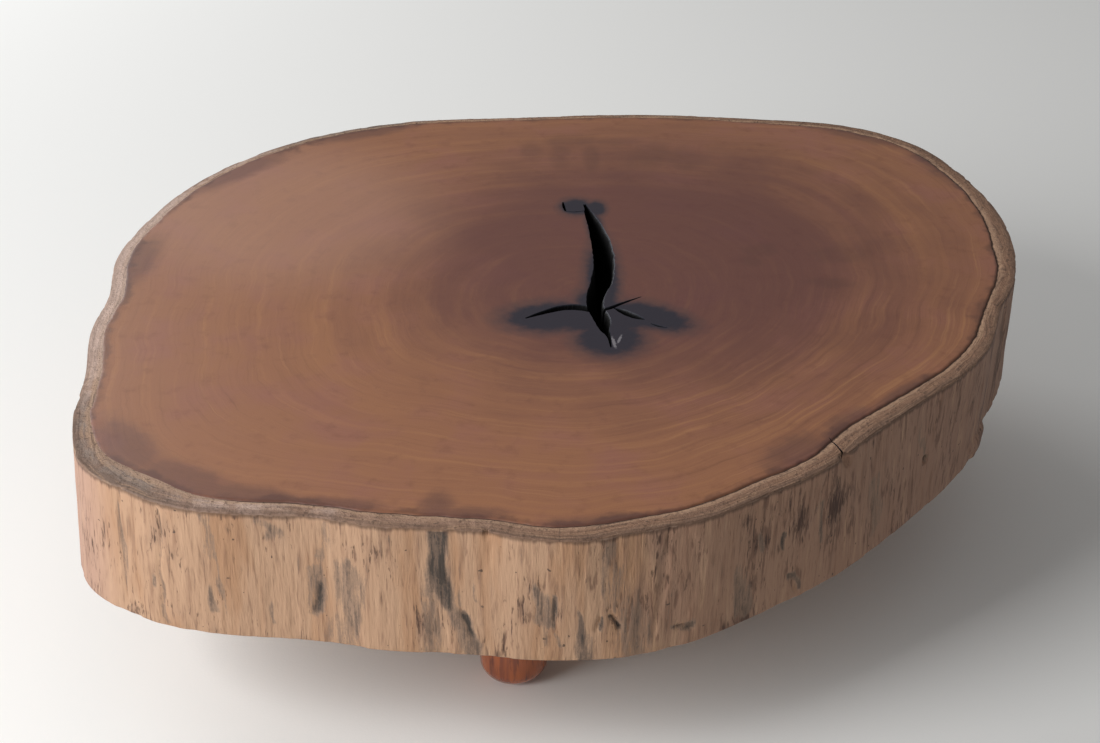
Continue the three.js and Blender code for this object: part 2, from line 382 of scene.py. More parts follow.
class Shell:
    """A mesh grown ring by ring from one closed loop. Each vertex knows its station."""

    def __init__(self, stations):
        self.bm = bmesh.new()
        self.station = self.bm.verts.layers.int.new("station")
        self.stations = stations

    def loop(self, count, place):
        """A loose closed loop of this many vertices, each put where place says."""
        verts = bmesh.ops.create_circle(self.bm, segments=count, radius=1)["verts"]
        for k, vert in enumerate(verts):
            vert[self.station] = k * self.stations // count
            vert.co = place(vert[self.station])
        return list({edge for vert in verts for edge in vert.link_edges})

    def grow(self, edges, place, slot):
        """Extrudes a loop and puts each new vertex where place says."""
        made = bmesh.ops.extrude_edge_only(self.bm, edges=edges)["geom"]
        verts = {part for part in made if isinstance(part, bmesh.types.BMVert)}
        for vert in verts:
            vert.co = place(vert[self.station])
        for part in made:
            if isinstance(part, bmesh.types.BMFace):
                part.material_index = slot
        return [part for part in made
                if isinstance(part, bmesh.types.BMEdge) and verts.issuperset(part.verts)]

    def fill(self, edges, slot):
        """Fills the flat space inside or between loops."""
        made = bmesh.ops.triangle_fill(self.bm, edges=edges, use_beauty=True)["geom"]
        for part in made:
            if isinstance(part, bmesh.types.BMFace):
                part.material_index = slot

    def cap(self, edges, slot):
        """Closes a small round loop with a fan."""
        face = bmesh.ops.contextual_create(self.bm, geom=edges)["faces"]
        for part in bmesh.ops.poke(self.bm, faces=face)["faces"]:
            part.material_index = slot

    def finish(self, name, materials):
        """Turns the shell, faces outward, into a scene object."""
        bmesh.ops.recalc_face_normals(self.bm, faces=self.bm.faces)
        return finished(self.bm, name, materials)


def finished(bm, name, materials, sharp_angle=SHARP_ANGLE):
    """A smooth shaded scene object from a bmesh, with its sharp edges marked."""
    mesh = bpy.data.meshes.new(name)
    for face in bm.faces:
        face.smooth = True
    bm.to_mesh(mesh)
    bm.free()
    for material in materials:
        mesh.materials.append(material)
    mesh.set_sharp_from_angle(angle=math.radians(sharp_angle))
    piece = bpy.data.objects.new(name, mesh)
    bpy.context.scene.collection.objects.link(piece)
    return piece


# ---------------------------------------------------------------- materials


def colour(text):
    """A linear colour from an sRGB hex value such as #8A5A3C."""
    channels = [int(text[k:k + 2], 16) / 255 for k in (1, 3, 5)]
    linear = [c / 12.92 if c <= 0.04045 else ((c + 0.055) / 1.055) ** 2.4 for c in channels]
    return (*linear, 1.0)


def node(tree, kind, inputs=None, out=0, **settings):
    """Adds a node with its settings and a link or value for each input. Gives one output."""
    made = tree.nodes.new("ShaderNode" + kind)
    for name, value in settings.items():
        setattr(made, name, value)
    for name, value in (inputs or {}).items():
        if isinstance(value, bpy.types.NodeSocket):
            tree.links.new(value, made.inputs[name])
        else:
            made.inputs[name].default_value = value
    return made.outputs[out] if made.outputs else None


def new_material(name):
    """An empty material and the function that adds nodes to it."""
    made = bpy.data.materials.new(name)
    made.use_nodes = True
    made.node_tree.nodes.clear()
    return made, partial(node, made.node_tree)


def surface(add, height, depth, inputs):
    """Joins up the shader, with a bump of this pattern and depth in metres."""
    normal = add("Bump", {"Height": height, "Distance": depth})
    shader = add("BsdfPrincipled", {"Normal": normal, **inputs})
    add("OutputMaterial", {"Surface": shader})


def lumps(add, size, stretch=1.0, detail=3.0, shift=0.0, roughness=0.55):
    """Noise about 0.5 in lumps this many millimetres wide and stretch times as tall.

    A stretch of 0 makes it the same at every height.
    """
    tall = 1 / stretch if stretch else 0.0
    place = add("Mapping", {"Vector": add("TexCoord", out="Object"), "Scale": (1, 1, tall),
                            "Location": (shift, shift, 0)})
    return add("TexNoise", {"Vector": place, "Scale": 1 / (size * MM), "Detail": detail,
                            "Roughness": roughness})


def arcs(add, width, length, detail=3.0):
    """Noise about 0.5 in broken arcs along the growth rings, sized in millimetres."""
    arm = add("Mapping", {"Vector": add("TexCoord", out="Object"), "Scale": (1, 1, 0),
                          "Location": (-PITH.x, -PITH.y, 0)})
    turn = add("VectorMath", {0: arm}, operation="NORMALIZE")
    age = add("Attribute", attribute_name="age", out="Fac")
    waver = add("Math", {0: lumps(add, 110, 0), 1: 0.05}, operation="MULTIPLY")
    age = add("Math", {0: age, 1: waver}, operation="ADD")
    rings = add("CombineXYZ", {"Z": add("Math", {0: age, 1: MEAN_REACH / (width * MM)},
                                        operation="MULTIPLY")})
    around = 0.6 * MEAN_REACH / (length * MM)
    place = add("VectorMath", {0: turn, 1: (around, around, around), 2: rings},
                operation="MULTIPLY_ADD")
    return add("TexNoise", {"Vector": place, "Scale": 1.0, "Detail": detail, "Roughness": 0.6})


def ovals(add, shapes):
    """About 0 in the middle of the nearest oval and 1 at its edge.

    An oval is its centre x, y, half length and half width in millimetres and turn in degrees.
    """
    nearest = None
    for x, y, half_x, half_y, turn in shapes:
        local = add("Mapping", {
            "Vector": add("TexCoord", out="Object"), "Location": (x * MM, y * MM, SLAB_HIGH.z),
            "Rotation": (0, 0, math.radians(turn)), "Scale": (half_x * MM, half_y * MM, 0.1)},
            vector_type="TEXTURE")
        away = add("VectorMath", {0: local}, out="Value", operation="LENGTH")
        nearest = away if nearest is None else add(
            "Math", {0: nearest, 1: away, 2: 0.25}, operation="SMOOTH_MIN")
    return nearest


def blend(add, first, second, share):
    """The sum of one pattern and a share of another, kept about the first one's middle."""
    centred = add("Math", {0: second, 1: 0.5}, operation="SUBTRACT")
    return add("Math", {0: centred, 1: share, 2: first}, operation="MULTIPLY_ADD")


def layered(add, base, layers):
    """Lays colours over a base.

    A layer is its colour, the most of it that shows, its pattern, and the values of the pattern
    where the layer begins and where it is full.
    """
    for tint, most, pattern, begins, full in layers:
        share = add("MapRange", {0: pattern, 1: begins, 2: full, 3: 0.0, 4: most},
                    interpolation_type="SMOOTHSTEP")
        base = add("Mix", {0: share, 6: base, 7: colour(tint)}, out=2, data_type="RGBA")
    return base


# Soft-edged patches of the top, as ovals() takes them
STAIN = (
    (37, 30, 17, 80, 0), (33, 140, 9, 62, 6), (30, -24, 21, 32, 0), (-20, -58, 46, 30, 8),
    (20, -60, 40, 30, 0), (62, -56, 34, 30, 0), (88, -58, 42, 24, -32), (42, -104, 33, 36, 0),
    (10, 207, 17, 20, 0), (33, 203, 11, 18, 0),
)
# Pale pinkish patch at the back left of the top: a painted sheen, the varnish's reflection painted
# into its colour
PAINTED_SHEEN_PATCH = ((-330, 200, 170, 190, 30),)
DARK_HEART = ((95, 80, 295, 305, 0),)
RINGED_SIDE = ((240, -130, 330, 250, -20),)
GREY_RIM = ((-430, -330, 120, 120, 0), (-290, 420, 120, 40, 22))
PALE_RIM = ((-500, 60, 90, 250, 0),)
# Two pale grey streaks by the lower end of the crack
PALE_STREAKS = ((46, -113, 2.0, 14, 8), (52, -107, 1.6, 11, -14))
EDGE_PATCHES = (
    (-425, -320, 26, 60, 30), (-362, -378, 62, 26, -36), (-300, -402, 50, 16, -14),
    (-222, -418, 50, 12, -4), (-123, -422, 16, 26, 0), (-95, -434, 34, 12, 0),
    (60, -444, 110, 12, 6), (218, -326, 46, 24, 40), (276, -268, 34, 16, 44),
    (250, -298, 12, 10, 0), (330, -215, 46, 8, 46), (455, 300, 18, 90, 26),
    (360, 412, 110, 16, -30), (-478, 60, 22, 70, -12), (-395, 300, 90, 20, 48),
    (-250, 415, 70, 14, 24),
)
FAINT_MARKS = (
    (5, 395, 34, 18, 0), (-44, 365, 14, 30, 0), (-8, 350, 12, 34, 0), (29, 345, 10, 40, 0),
    (104, 350, 26, 40, 0), (142, 338, 28, 36, -30), (214, 97, 16, 22, -40), (201, 73, 14, 14, 0),
    (310, 90, 40, 26, 20), (284, 20, 24, 14, 0), (64, 390, 34, 12, 0),
)


def varnished_heartwood(settings):
    """Planed hardwood end grain under satin varnish: broken ring arcs, a purple-brown heart, and a
    pale painted sheen at the back left.
    """
    made, add = new_material("varnished_heartwood")
    calm = add("MapRange", {0: ovals(add, RINGED_SIDE), 1: 0.5, 2: 1.3, 3: 1.0, 4: 0.6})
    zones = arcs(add, 38, 500)
    rings = blend(add, 0.5, arcs(add, 11, 260), calm)
    fine = blend(add, 0.5, arcs(add, 4.2, 120), calm)
    hair = arcs(add, 2.2, 60)
    cloud = lumps(add, 90, 0)
    mottle = lumps(add, 22, 0, 4)
    pores = lumps(add, 1.6, 0, 2)
    across = add("Attribute", attribute_name="across", out="Fac")
    edge = blend(add, across, blend(add, mottle, cloud, 1.0), 2.2)
    patch = blend(add, ovals(add, EDGE_PATCHES), mottle, 1.2)
    faint = blend(add, ovals(add, FAINT_MARKS), mottle, 1.6)
    heart = blend(add, ovals(add, DARK_HEART), blend(add, cloud, zones, 0.8), 0.65)
    stain = blend(add, ovals(add, STAIN), lumps(add, 12, 0), 0.5)
    pale_streak = blend(add, ovals(add, PALE_STREAKS), lumps(add, 3, 0), 1.6)
    tint = layered(add, settings.heart_colour[:] + (1.0,), (
        ("#95625A", 0.45, cloud, 0.45, 0.70),
        ("#A9764F", 0.34, zones, 0.48, 0.74),
        ("#B98459", 0.50, rings, 0.50, 0.72),
        ("#5F3D2E", 0.30, rings, 0.46, 0.26),
        ("#54362A", 0.22, fine, 0.45, 0.25),
        ("#C08D62", 0.30, fine, 0.54, 0.72),
        ("#54362A", 0.12, hair, 0.48, 0.30),
        ("#7A4F3D", 0.34, mottle, 0.52, 0.74),
        ("#643F3D", 0.80, heart, 1.40, 0.50),
        # Painted sheen: pale pinkish patch at the back left of the top
        ("#BC9380", 0.35, ovals(add, PAINTED_SHEEN_PATCH), 1.40, 0.50),
        ("#4E3228", 0.16, pores, 0.56, 0.78),
        ("#4A322F", 0.48, edge, 1.80, 1.00),
        ("#4B363A", 0.46, patch, 1.45, 0.50),
        ("#553A34", 0.24, faint, 1.40, 0.40),
        ("#54403F", 0.60, stain, 1.75, 1.10),
        ("#2B2B36", 0.93, stain, 1.25, 0.75),
        # Pale grey streaks by the lower end of the crack
        ("#908C90", 0.70, pale_streak, 1.10, 0.60),
    ))
    gloss = add("MapRange", {0: mottle, 1: 0.3, 2: 0.7, 3: 0.38, 4: 0.46})
    surface(add, blend(add, fine, pores, 1.0), 0.0001,
            {"Base Color": tint, "Roughness": gloss, "IOR": 1.5, "Specular IOR Level": 0.24})
    return made


def bare_sapwood_rim(settings):
    """Weathered sapwood end grain left bare: dull tan, pale at the left, grey at the corner."""
    made, add = new_material("bare_sapwood_rim")
    across = add("Attribute", attribute_name="across", out="Fac")
    left = add("SeparateXYZ", {0: add("TexCoord", out="Object")}, out="X")
    blotch = lumps(add, 30, 1, 4)
    grain = arcs(add, 2.6, 34)
    grit = lumps(add, 3.2, 1, 4, roughness=0.7)
    crumbs = lumps(add, 7, 1, 3)
    arm = add("VectorMath", {0: add("Mapping", {
        "Vector": add("TexCoord", out="Object"), "Scale": (1, 1, 0)})}, operation="NORMALIZE")
    checks = add("TexNoise", {"Vector": arm, "Scale": MEAN_REACH / (7 * MM), "Detail": 2})
    strip = blend(add, across, blend(add, crumbs, blotch, 1.0), 0.45)
    fading = add("MapRange", {0: left, 1: -0.30, 2: -0.42, 3: 0.5, 4: 0.2})
    line = blend(add, blend(add, across, crumbs, 0.12), fading, 1.0)
    tint = layered(add, settings.rim_colour[:] + (1.0,), (
        ("#C3A89A", 0.85, blend(add, left, blotch, 0.3), -0.18, -0.34),
        ("#7B6C62", 0.80, blend(add, ovals(add, GREY_RIM), blotch, 1.0), 1.15, 0.70),
        ("#86634C", 0.80, blend(add, left, blotch, 0.15), -0.14, 0.0),
        ("#7E5F4C", 0.60, blotch, 0.45, 0.65),
        ("#B8957A", 0.60, strip, 0.60, 0.85),
        ("#6F5647", 0.65, strip, 0.40, 0.14),
        ("#5E4739", 0.60, grain, 0.50, 0.68),
        ("#BC9878", 0.35, grain, 0.48, 0.32),
        ("#4A372D", 0.60, blend(add, grit, crumbs, 0.7), 0.56, 0.70),
        ("#B99A80", 0.25, grit, 0.44, 0.28),
        ("#3C2B22", 0.60, checks, 0.68, 0.76),
        ("#CBB1A4", 0.50, blend(add, ovals(add, PALE_RIM), blotch, 0.4), 1.20, 0.75),
        ("#38251C", 0.90, line, 0.92, 0.99),
    ))
    relief = blend(add, blend(add, grit, crumbs, 0.6), grain, 0.6)
    surface(add, relief, 0.0012, {"Base Color": tint, "Roughness": 0.85})
    return made


def debarked_side(settings):
    """Sapwood side with the bark peeled off: tan, upright fibres, dark flecks, grey weathering;
    greyer and darker towards the right, partly weathering and partly painted shade.
    """
    made, add = new_material("debarked_side")
    weather = add("Attribute", attribute_name="weather", out="Fac")
    place = add("TexCoord", out="Object")
    right = add("SeparateXYZ", {0: place}, out="X")
    height = add("SeparateXYZ", {0: place}, out="Z")
    bands = lumps(add, 34, 6, 3)
    cluster = lumps(add, 42, 2.2, 3, 7.0)
    strands = lumps(add, 8, 9, 4)
    threads = lumps(add, 2.6, 11, 4, 3.0)
    flecks = lumps(add, 3.4, 5, 3, 5.0, 0.65)
    speck = lumps(add, 1.7, 2.5, 3, 9.0, 0.7)
    pins = lumps(add, 5.0, 1, 0, 11.0)
    gashes = lumps(add, 4.5, 6, 3, 17.0)
    # More dark gashes and a greyer, darker tone towards the right: partly weathered sapwood, partly
    # painted shade of the side turned away from the key light
    gashed_and_shaded = blend(add, blend(add, gashes, cluster, 0.7), right, 0.20)
    greyed_and_shaded = blend(add, right, blend(add, cluster, strands, 0.8), 0.16)
    fuzzy = blend(add, weather, blend(add, blend(add, strands, threads, 0.8), speck, 0.6), 1.5)
    fleck = blend(add, flecks, cluster, 0.75)
    lip = blend(add, height, blend(add, cluster, strands, 1.0), 0.008)
    top = SLAB_HIGH.z
    tint = layered(add, settings.side_colour[:] + (1.0,), (
        ("#A57C5C", 0.80, bands, 0.47, 0.64),
        ("#BC987B", 0.60, bands, 0.45, 0.30),
        ("#A8867A", 0.60, right, -0.42, -0.475),
        # Greyer and darker towards the right: partly weathering, partly painted shade
        ("#9A7762", 0.80, greyed_and_shaded, 0.02, 0.10),
        ("#907060", 0.60, greyed_and_shaded, 0.16, 0.40),
        ("#76533F", 0.50, strands, 0.52, 0.70),
        ("#C39F80", 0.35, strands, 0.45, 0.28),
        ("#6A4A38", 0.45, threads, 0.53, 0.72),
        ("#8A6D5B", 0.50, cluster, 0.54, 0.70),
        # Dark gashes, more of them towards the right, which partly paints shade
        ("#553628", 0.55, gashed_and_shaded, 0.48, 0.63),
        ("#4E3628", 0.75, fleck, 0.63, 0.73),
        ("#41291F", 0.80, blend(add, threads, cluster, 0.9), 0.68, 0.77),
        ("#43322A", 0.80, pins, 0.83, 0.86),
        ("#846D5C", 0.72, fuzzy, 0.22, 0.62),
        ("#5B4B41", 0.75, fuzzy, 0.62, 1.00),
        ("#352F2A", 0.85, fuzzy, 1.02, 1.40),
        ("#432C21", 0.65, lip, top - 0.009, top - 0.004),
        ("#8B7160", 0.80, lip, top - 0.004, top - 0.002),
    ))
    relief = blend(add, blend(add, strands, threads, 0.3), gashes, -0.9)
    surface(add, relief, 0.0011, {"Base Color": tint, "Roughness": 0.78})
    return made


def stained_crack(settings):
    """Old split wood stained almost black, dry and fibrous, its worn lips varnished blue-grey."""
    made, add = new_material("stained_crack")
    height = add("SeparateXYZ", {0: add("TexCoord", out="Object")}, out="Z")
    fibres = lumps(add, 3, 9, 4)
    tint = layered(add, colour("#050506"), (
        ("#101013", 0.80, fibres, 0.5, 0.8),
        ("#2F313B", 0.90, blend(add, height, fibres, 0.001), SLAB_HIGH.z - 0.002, SLAB_HIGH.z),
    ))
    surface(add, fibres, 0.001, {"Base Color": tint, "Roughness": 0.5, "Specular IOR Level": 0.3})
    return made


def sawn_underside(settings):
    """Rough sawn end grain left bare: curved saw marks over faint rings, paler sapwood."""
    made, add = new_material("sawn_underside")
    age = add("Attribute", attribute_name="age", out="Fac")
    rings = arcs(add, 11, 400)
    fine = arcs(add, 4, 160)
    grit = lumps(add, 2.4, 0, 4)
    blotch = lumps(add, 80, 0, 3)
    saw = add("TexWave", {
        "Vector": add("Mapping", {"Vector": add("TexCoord", out="Object"), "Scale": (1, 1, 0),
                                  "Location": (-1.1, 0.4, 0)}),
        "Scale": 0.314 / (9 * MM), "Distortion": 5.0, "Detail": 3.0, "Detail Scale": 0.4},
        wave_type="RINGS", rings_direction="Z", out="Fac")
    tint = layered(add, colour("#8E6B53"), (
        ("#A98466", 0.60, rings, 0.48, 0.70),
        ("#5F4535", 0.50, fine, 0.48, 0.28),
        ("#6B5041", 0.55, blotch, 0.50, 0.70),
        ("#B9977A", 0.16, saw, 0.55, 0.95),
        ("#B79576", 0.85, blend(add, age, blotch, 0.02), 0.945, 0.965),
        ("#4A372B", 0.45, grit, 0.54, 0.74),
    ))
    surface(add, blend(add, saw, grit, 0.8), 0.0008, {"Base Color": tint, "Roughness": 0.9})
    return made


def varnished_foot_wood(settings):
    """Turned red-brown hardwood under gloss varnish: slanting streaks, fine dark pores."""
    made, add = new_material("varnished_foot_wood")
    place = add("Mapping", {"Vector": add("TexCoord", out="Object"), "Scale": (1, 1, 0.12),
                            "Rotation": (0.0, 0.35, 0.0)})
    streak = add("TexNoise", {"Vector": place, "Scale": 1 / (11 * MM), "Detail": 3.0})
    pores = add("TexNoise", {"Vector": place, "Scale": 1 / (2 * MM), "Detail": 3.0})
    tint = layered(add, settings.foot_colour[:] + (1.0,), (
        ("#7A3B22", 0.85, streak, 0.46, 0.62),
        ("#B5622F", 0.60, streak, 0.42, 0.30),
        ("#4A2116", 0.60, pores, 0.52, 0.72),
    ))
    surface(add, pores, 0.0001, {"Base Color": tint, "Roughness": 0.22, "IOR": 1.5,
                                 "Coat Weight": 0.6, "Coat Roughness": 0.1})
    return made


def plated_metal(name, tint, worn, roughness):
    """Machined and plated metal: fine turning marks and a slightly cloudy shine."""
    made, add = new_material(name)
    marks = lumps(add, 0.6, 0.1, 2)
    cloud = lumps(add, 6, 1, 3)
    gloss = add("MapRange", {0: cloud, 1: 0.3, 2: 0.7, 3: roughness, 4: roughness + 0.14})
    surface(add, marks, 0.00005, {
        "Base Color": layered(add, colour(tint), ((worn, 1.0, cloud, 0.35, 0.70),)),
        "Metallic": 1.0, "Roughness": gloss})
    return made


def matt_floor(settings):
    """Painted studio floor: matt, with the faintest roller texture."""
    made, add = new_material("matt_floor")
    surface(add, lumps(add, 3), 0.0001,
            {"Base Color": settings.floor_colour[:] + (1.0,), "Roughness": 0.9})
    return made


# ---------------------------------------------------------------- settings


def tint_property(name, description, text):
    return FloatVectorProperty(name=name, description=description, subtype="COLOR", size=3,
                               min=0.0, max=1.0, default=colour(text)[:3])


class SlabSettings(bpy.types.PropertyGroup):
    """Sizes and colours of the slice."""
    heart_colour: tint_property("Heartwood", "Varnished top", "#9A694D")
    side_colour: tint_property("Side", "Pale sapwood of the debarked side", "#B08C70")
    rim_colour: tint_property("Rim", "Bare sapwood on top", "#A07F6A")
    crack_floor: FloatProperty(
        name="Crack floor", description="Width of the crack's floor as a share of its mouth",
        default=0.3, min=0.05, max=1.0, subtype="FACTOR")


class FootSettings(bpy.types.PropertyGroup):
    """Shape and colour of the turned feet."""
    base_radius: FloatProperty(
        name="Base radius", description="Radius just above the rounded lower edge",
        default=0.035, min=0.01, unit="LENGTH")
    edge_radius: FloatProperty(
        name="Edge radius", description="Rounding of the lower edge",
        default=0.022, min=0.001, unit="LENGTH")
    foot_colour: tint_property("Wood", "Red-brown varnished wood", "#A4552A")


class StageSettings(bpy.types.PropertyGroup):
    """Floor, light and camera."""
    floor_colour: tint_property("Floor", "Plain pale floor", "#F6F6F4")
    key_power: FloatProperty(
        name="Key light", description="Power of the big soft light on the left",
        default=105.0, min=0.0, unit="POWER")
    sky_strength: FloatProperty(
        name="Sky", description="Strength of the even light all round", default=0.25, min=0.0)
    pitch: FloatProperty(
        name="Pitch", description="How far the camera looks down",
        default=math.radians(30), subtype="ANGLE", unit="ROTATION")
    lens: FloatProperty(name="Lens", description="Focal length in millimetres", default=74.8)


# ---------------------------------------------------------------- pieces


def slab_shell(materials):
    """The slice without its crack or holes, closed all round."""
    shell = Shell(STATIONS)
    drops = [1.7, 2.3, 3.1, 4.4, 6.5] + [10 + 4.4 * k for k in range(29)]
    drops += [THICKNESS / MM - gap for gap in (7, 4.5, 2.5, 1.4, 0.6, 0.0)]
    arris = shell.loop(STATIONS, lambda i: side_point(i, RIM_DROP))
    edges = arris
    for drop in drops:
        slot = RIM if drop < 3.5 else SIDE
        edges = shell.grow(edges, lambda i, d=drop * MM: side_point(i, d), slot)
    inner = shell.loop(STATIONS // 6, lambda i: under_point(i, 1.0))
    shell.fill(edges + inner, UNDERSIDE)
    for share in (0.7, 0.4, 0.12):
        inner = shell.grow(inner, lambda i, s=share: under_point(i, s), UNDERSIDE)
    shell.cap(inner, UNDERSIDE)
    edges = arris
    for across in (0.06, 0.16, 0.28, 0.4, 0.48, 0.55, 0.62, 0.74, 0.87, 0.96):
        edges = shell.grow(edges, lambda i, a=across: rim_point(i, a), RIM)
    for inset, drop in ((0.0, 1.5), (0.6, 1.5), (1.2, 0.5), (2.2, 0.08), (3.4, 0.0), (5.0, 0.0)):
        slot = RIM if inset < 1 else HEARTWOOD
        edges = shell.grow(edges, lambda i, a=inset * MM, d=drop * MM: heart_point(i, a, d), slot)
    field = shell.loop(STATIONS // 3, lambda i: heart_point(i, FIELD_INSET, 0.0))
    shell.fill(edges + field, HEARTWOOD)
    for age in (0.84, 0.72, 0.6, 0.5, 0.4, 0.32, 0.24, 0.17, 0.11, 0.06, 0.03):
        field = shell.grow(field, lambda i, a=age: age_point(i, a), HEARTWOOD)
    shell.cap(field, HEARTWOOD)
    return shell.finish("wood_slice", materials)


def under_point(i, share):
    """A point of the underside: share shrinks the outline towards the pith."""
    edge = EDGE[i] + NORMALS[i] * (FLARES[i] - UNDER_INSET)
    spot = PITH.lerp(edge.to_2d(), share)
    return Vector((spot.x, spot.y, SLAB_LOW.z))


def crack_cutter(settings, materials):
    """Blades that cut the crack, with worn lips and ragged walls, and drills for the fixings."""
    bm = None
    top = SLAB_HIGH.z
    for depth, branch in CRACK_BRANCHES:
        points = open_curve([Vector(p) * MM for p in branch], 8)
        count = len(points)
        shell = Shell(2 * count)
        if bm is None:
            bm = shell.bm
            station = shell.station
        else:
            shell.bm.free()
            shell.bm, shell.station = bm, station

        def wall(k, widen, share, z):
            i = k if k < count else 2 * count - 1 - k
            side = 1 if k < count else -1
            along = points[min(i + 1, count - 1)] - points[max(i - 1, 0)]
            across = Vector((along.y, -along.x, 0)).normalized() * side
            middle = Vector((points[i].x, points[i].y, z))
            ragged = 0.7 * rough(middle + across * 0.01, 0.006, 0.03, 40.0 + side)
            half = points[i].z * share * (1 + 0.12 * ragged)
            half += widen * min(points[i].z / 8, MM) * (1.0 if side < 0 else 0.4)
            half += 0.4 * MM * ragged * min(points[i].z / (3 * MM), 1)
            return middle + across * max(half, 0.15 * MM)

        # Each level widens the crack by some lip, keeps a share of its width, and lies this
        # many millimetres above the top.
        levels = [(3.4, 1.0, 1.2), (2.4, 1.0, 0.0), (1.3, 1.0, -1.2), (0.5, 1.0, -3.0),
                  (0.0, 1.0, -LIP_DEPTH)]
        steps = max(int(depth / 9), 2)
        for n in range(1, steps + 1):
            share = 1 - (1 - settings.crack_floor) * n / steps
            levels.append((0.0, share, -LIP_DEPTH - (depth - LIP_DEPTH) * n / steps))
        edges = shell.loop(2 * count, lambda k: wall(k, levels[0][0], 1.0, top + levels[0][2] * MM))
        shell.fill(edges, CRACK)
        for widen, share, lift in levels[1:]:
            edges = shell.grow(edges, lambda k, w=widen, s=share, z=lift: wall(
                k, w, s, top + z * MM), CRACK)
        shell.fill(edges, CRACK)
    low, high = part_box("threaded_insert_front")
    hole_radius = (high.x - low.x) / 2 + FIXING_CLEARANCE
    bottom = SLAB_LOW.z - MM
    for name in FOOT_NAMES:
        low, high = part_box("hanger_bolt_" + name)
        middle = (low + high) / 2
        end = high.z + HOLE_END_CLEARANCE
        hole = bmesh.ops.create_cone(bm, cap_ends=True, segments=64, radius1=hole_radius,
                                     radius2=hole_radius, depth=end - bottom)["verts"]
        bmesh.ops.translate(bm, verts=hole, vec=(middle.x, middle.y, (end + bottom) / 2))
        for face in {face for vert in hole for face in vert.link_faces}:
            face.material_index = UNDERSIDE
    bmesh.ops.recalc_face_normals(bm, faces=bm.faces)
    return finished(bm, "cutter", materials)


def cut(piece, cutter):
    """Cuts one object's mesh by another's and removes the cutter."""
    modifier = piece.modifiers.new("cut", "BOOLEAN")
    modifier.object = cutter
    modifier.operation = "DIFFERENCE"
    modifier.solver = "EXACT"
    modifier.use_self = True
    graph = bpy.context.evaluated_depsgraph_get()
    mesh = bpy.data.meshes.new_from_object(piece.evaluated_get(graph))
    piece.modifiers.clear()
    piece.data = mesh
    bpy.data.objects.remove(cutter)
    if len(mesh.vertices) < STATIONS:
        raise RuntimeError("the crack could not be cut")


# Drop from the top where the side's weathering starts, width of one step across beyond the rim,
# its highest value, and how many stations each way are searched for the nearest one
SIDE_START = 6 * MM
EDGE_BAND = 12 * MM
FAR_ACROSS = 4.0
NEARBY = 14


def write_layers(piece):
    """Stores what the materials read: ring age, place across the rim, and weathering.

    Place across goes from 0 at the side to 1 at the heartwood, then up by 1 each EDGE_BAND.
    """
    mesh = piece.data
    age, across, weather = (mesh.attributes.new(name, "FLOAT", "POINT").data
                            for name in ("age", "across", "weather"))
    plan = [place.to_2d() for place in EDGE]
    turns = sorted((math.atan2(p.y, p.x), i) for i, p in enumerate(plan))
    angles = [turn for turn, _ in turns]
    for vert in mesh.vertices:
        spot = vert.co.to_2d()
        age[vert.index].value = age_of(*spot)
        across[vert.index].value = FAR_ACROSS
        if vert.co.z < SLAB_HIGH.z - SIDE_START:
            weather[vert.index].value = mark_at(STAIN_SPANS, vert.co)
        elif age[vert.index].value > 0.8:
            start = turns[bisect_left(angles, math.atan2(spot.y, spot.x)) % STATIONS][1]
            nearest = min((k % STATIONS for k in range(start - NEARBY, start + NEARBY + 1)),
                          key=lambda k: (plan[k] - spot).length_squared)
            away = (plan[nearest] - spot).length
            beyond = away - RIM_WIDTHS[nearest]
            across[vert.index].value = (away / RIM_WIDTHS[nearest] if beyond < 0
                                        else min(1 + beyond / EDGE_BAND, FAR_ACROSS))


class TABLE_OT_slice(bpy.types.Operator):
    """Build the trunk slice with its crack"""
    bl_idname = "wood_slice.add_slice"
    bl_label = "Add slice"

    def execute(self, context):
        settings = context.scene.wood_slice_slab
        materials = [varnished_heartwood(settings), bare_sapwood_rim(settings),
                     debarked_side(settings), stained_crack(settings), sawn_underside(settings)]
        piece = slab_shell(materials)
        cut(piece, crack_cutter(settings, materials))
        piece.data.name = piece.name
        write_layers(piece)
        piece.data.set_sharp_from_angle(angle=math.radians(SHARP_ANGLE))
        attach(piece, "root")
        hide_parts("slab")
        return {"FINISHED"}


def foot_profile(settings, radius_top, height):
    """Radius and height of the turned foot, from the middle of its base to its bolt hole."""
    base, edge = settings.base_radius, settings.edge_radius
    steps = 10
    profile = [(0.0, 0.0), (base - edge - 0.004, 0.0)]
    for k in range(steps + 1):
        turn = math.pi / 2 * k / steps
        profile.append((base - edge * (1 - math.sin(turn)), edge * (1 - math.cos(turn))))
    for k in range(1, 12):
        share = k / 12
        swell = base + (radius_top - base) * (edge / height + share * (1 - edge / height))
        profile.append((swell, edge + (height - 0.002 - edge) * share))
    profile += [(radius_top, height - 0.002), (radius_top - 0.0006, height - 0.0006),
                (radius_top - 0.002, height)]
    return profile


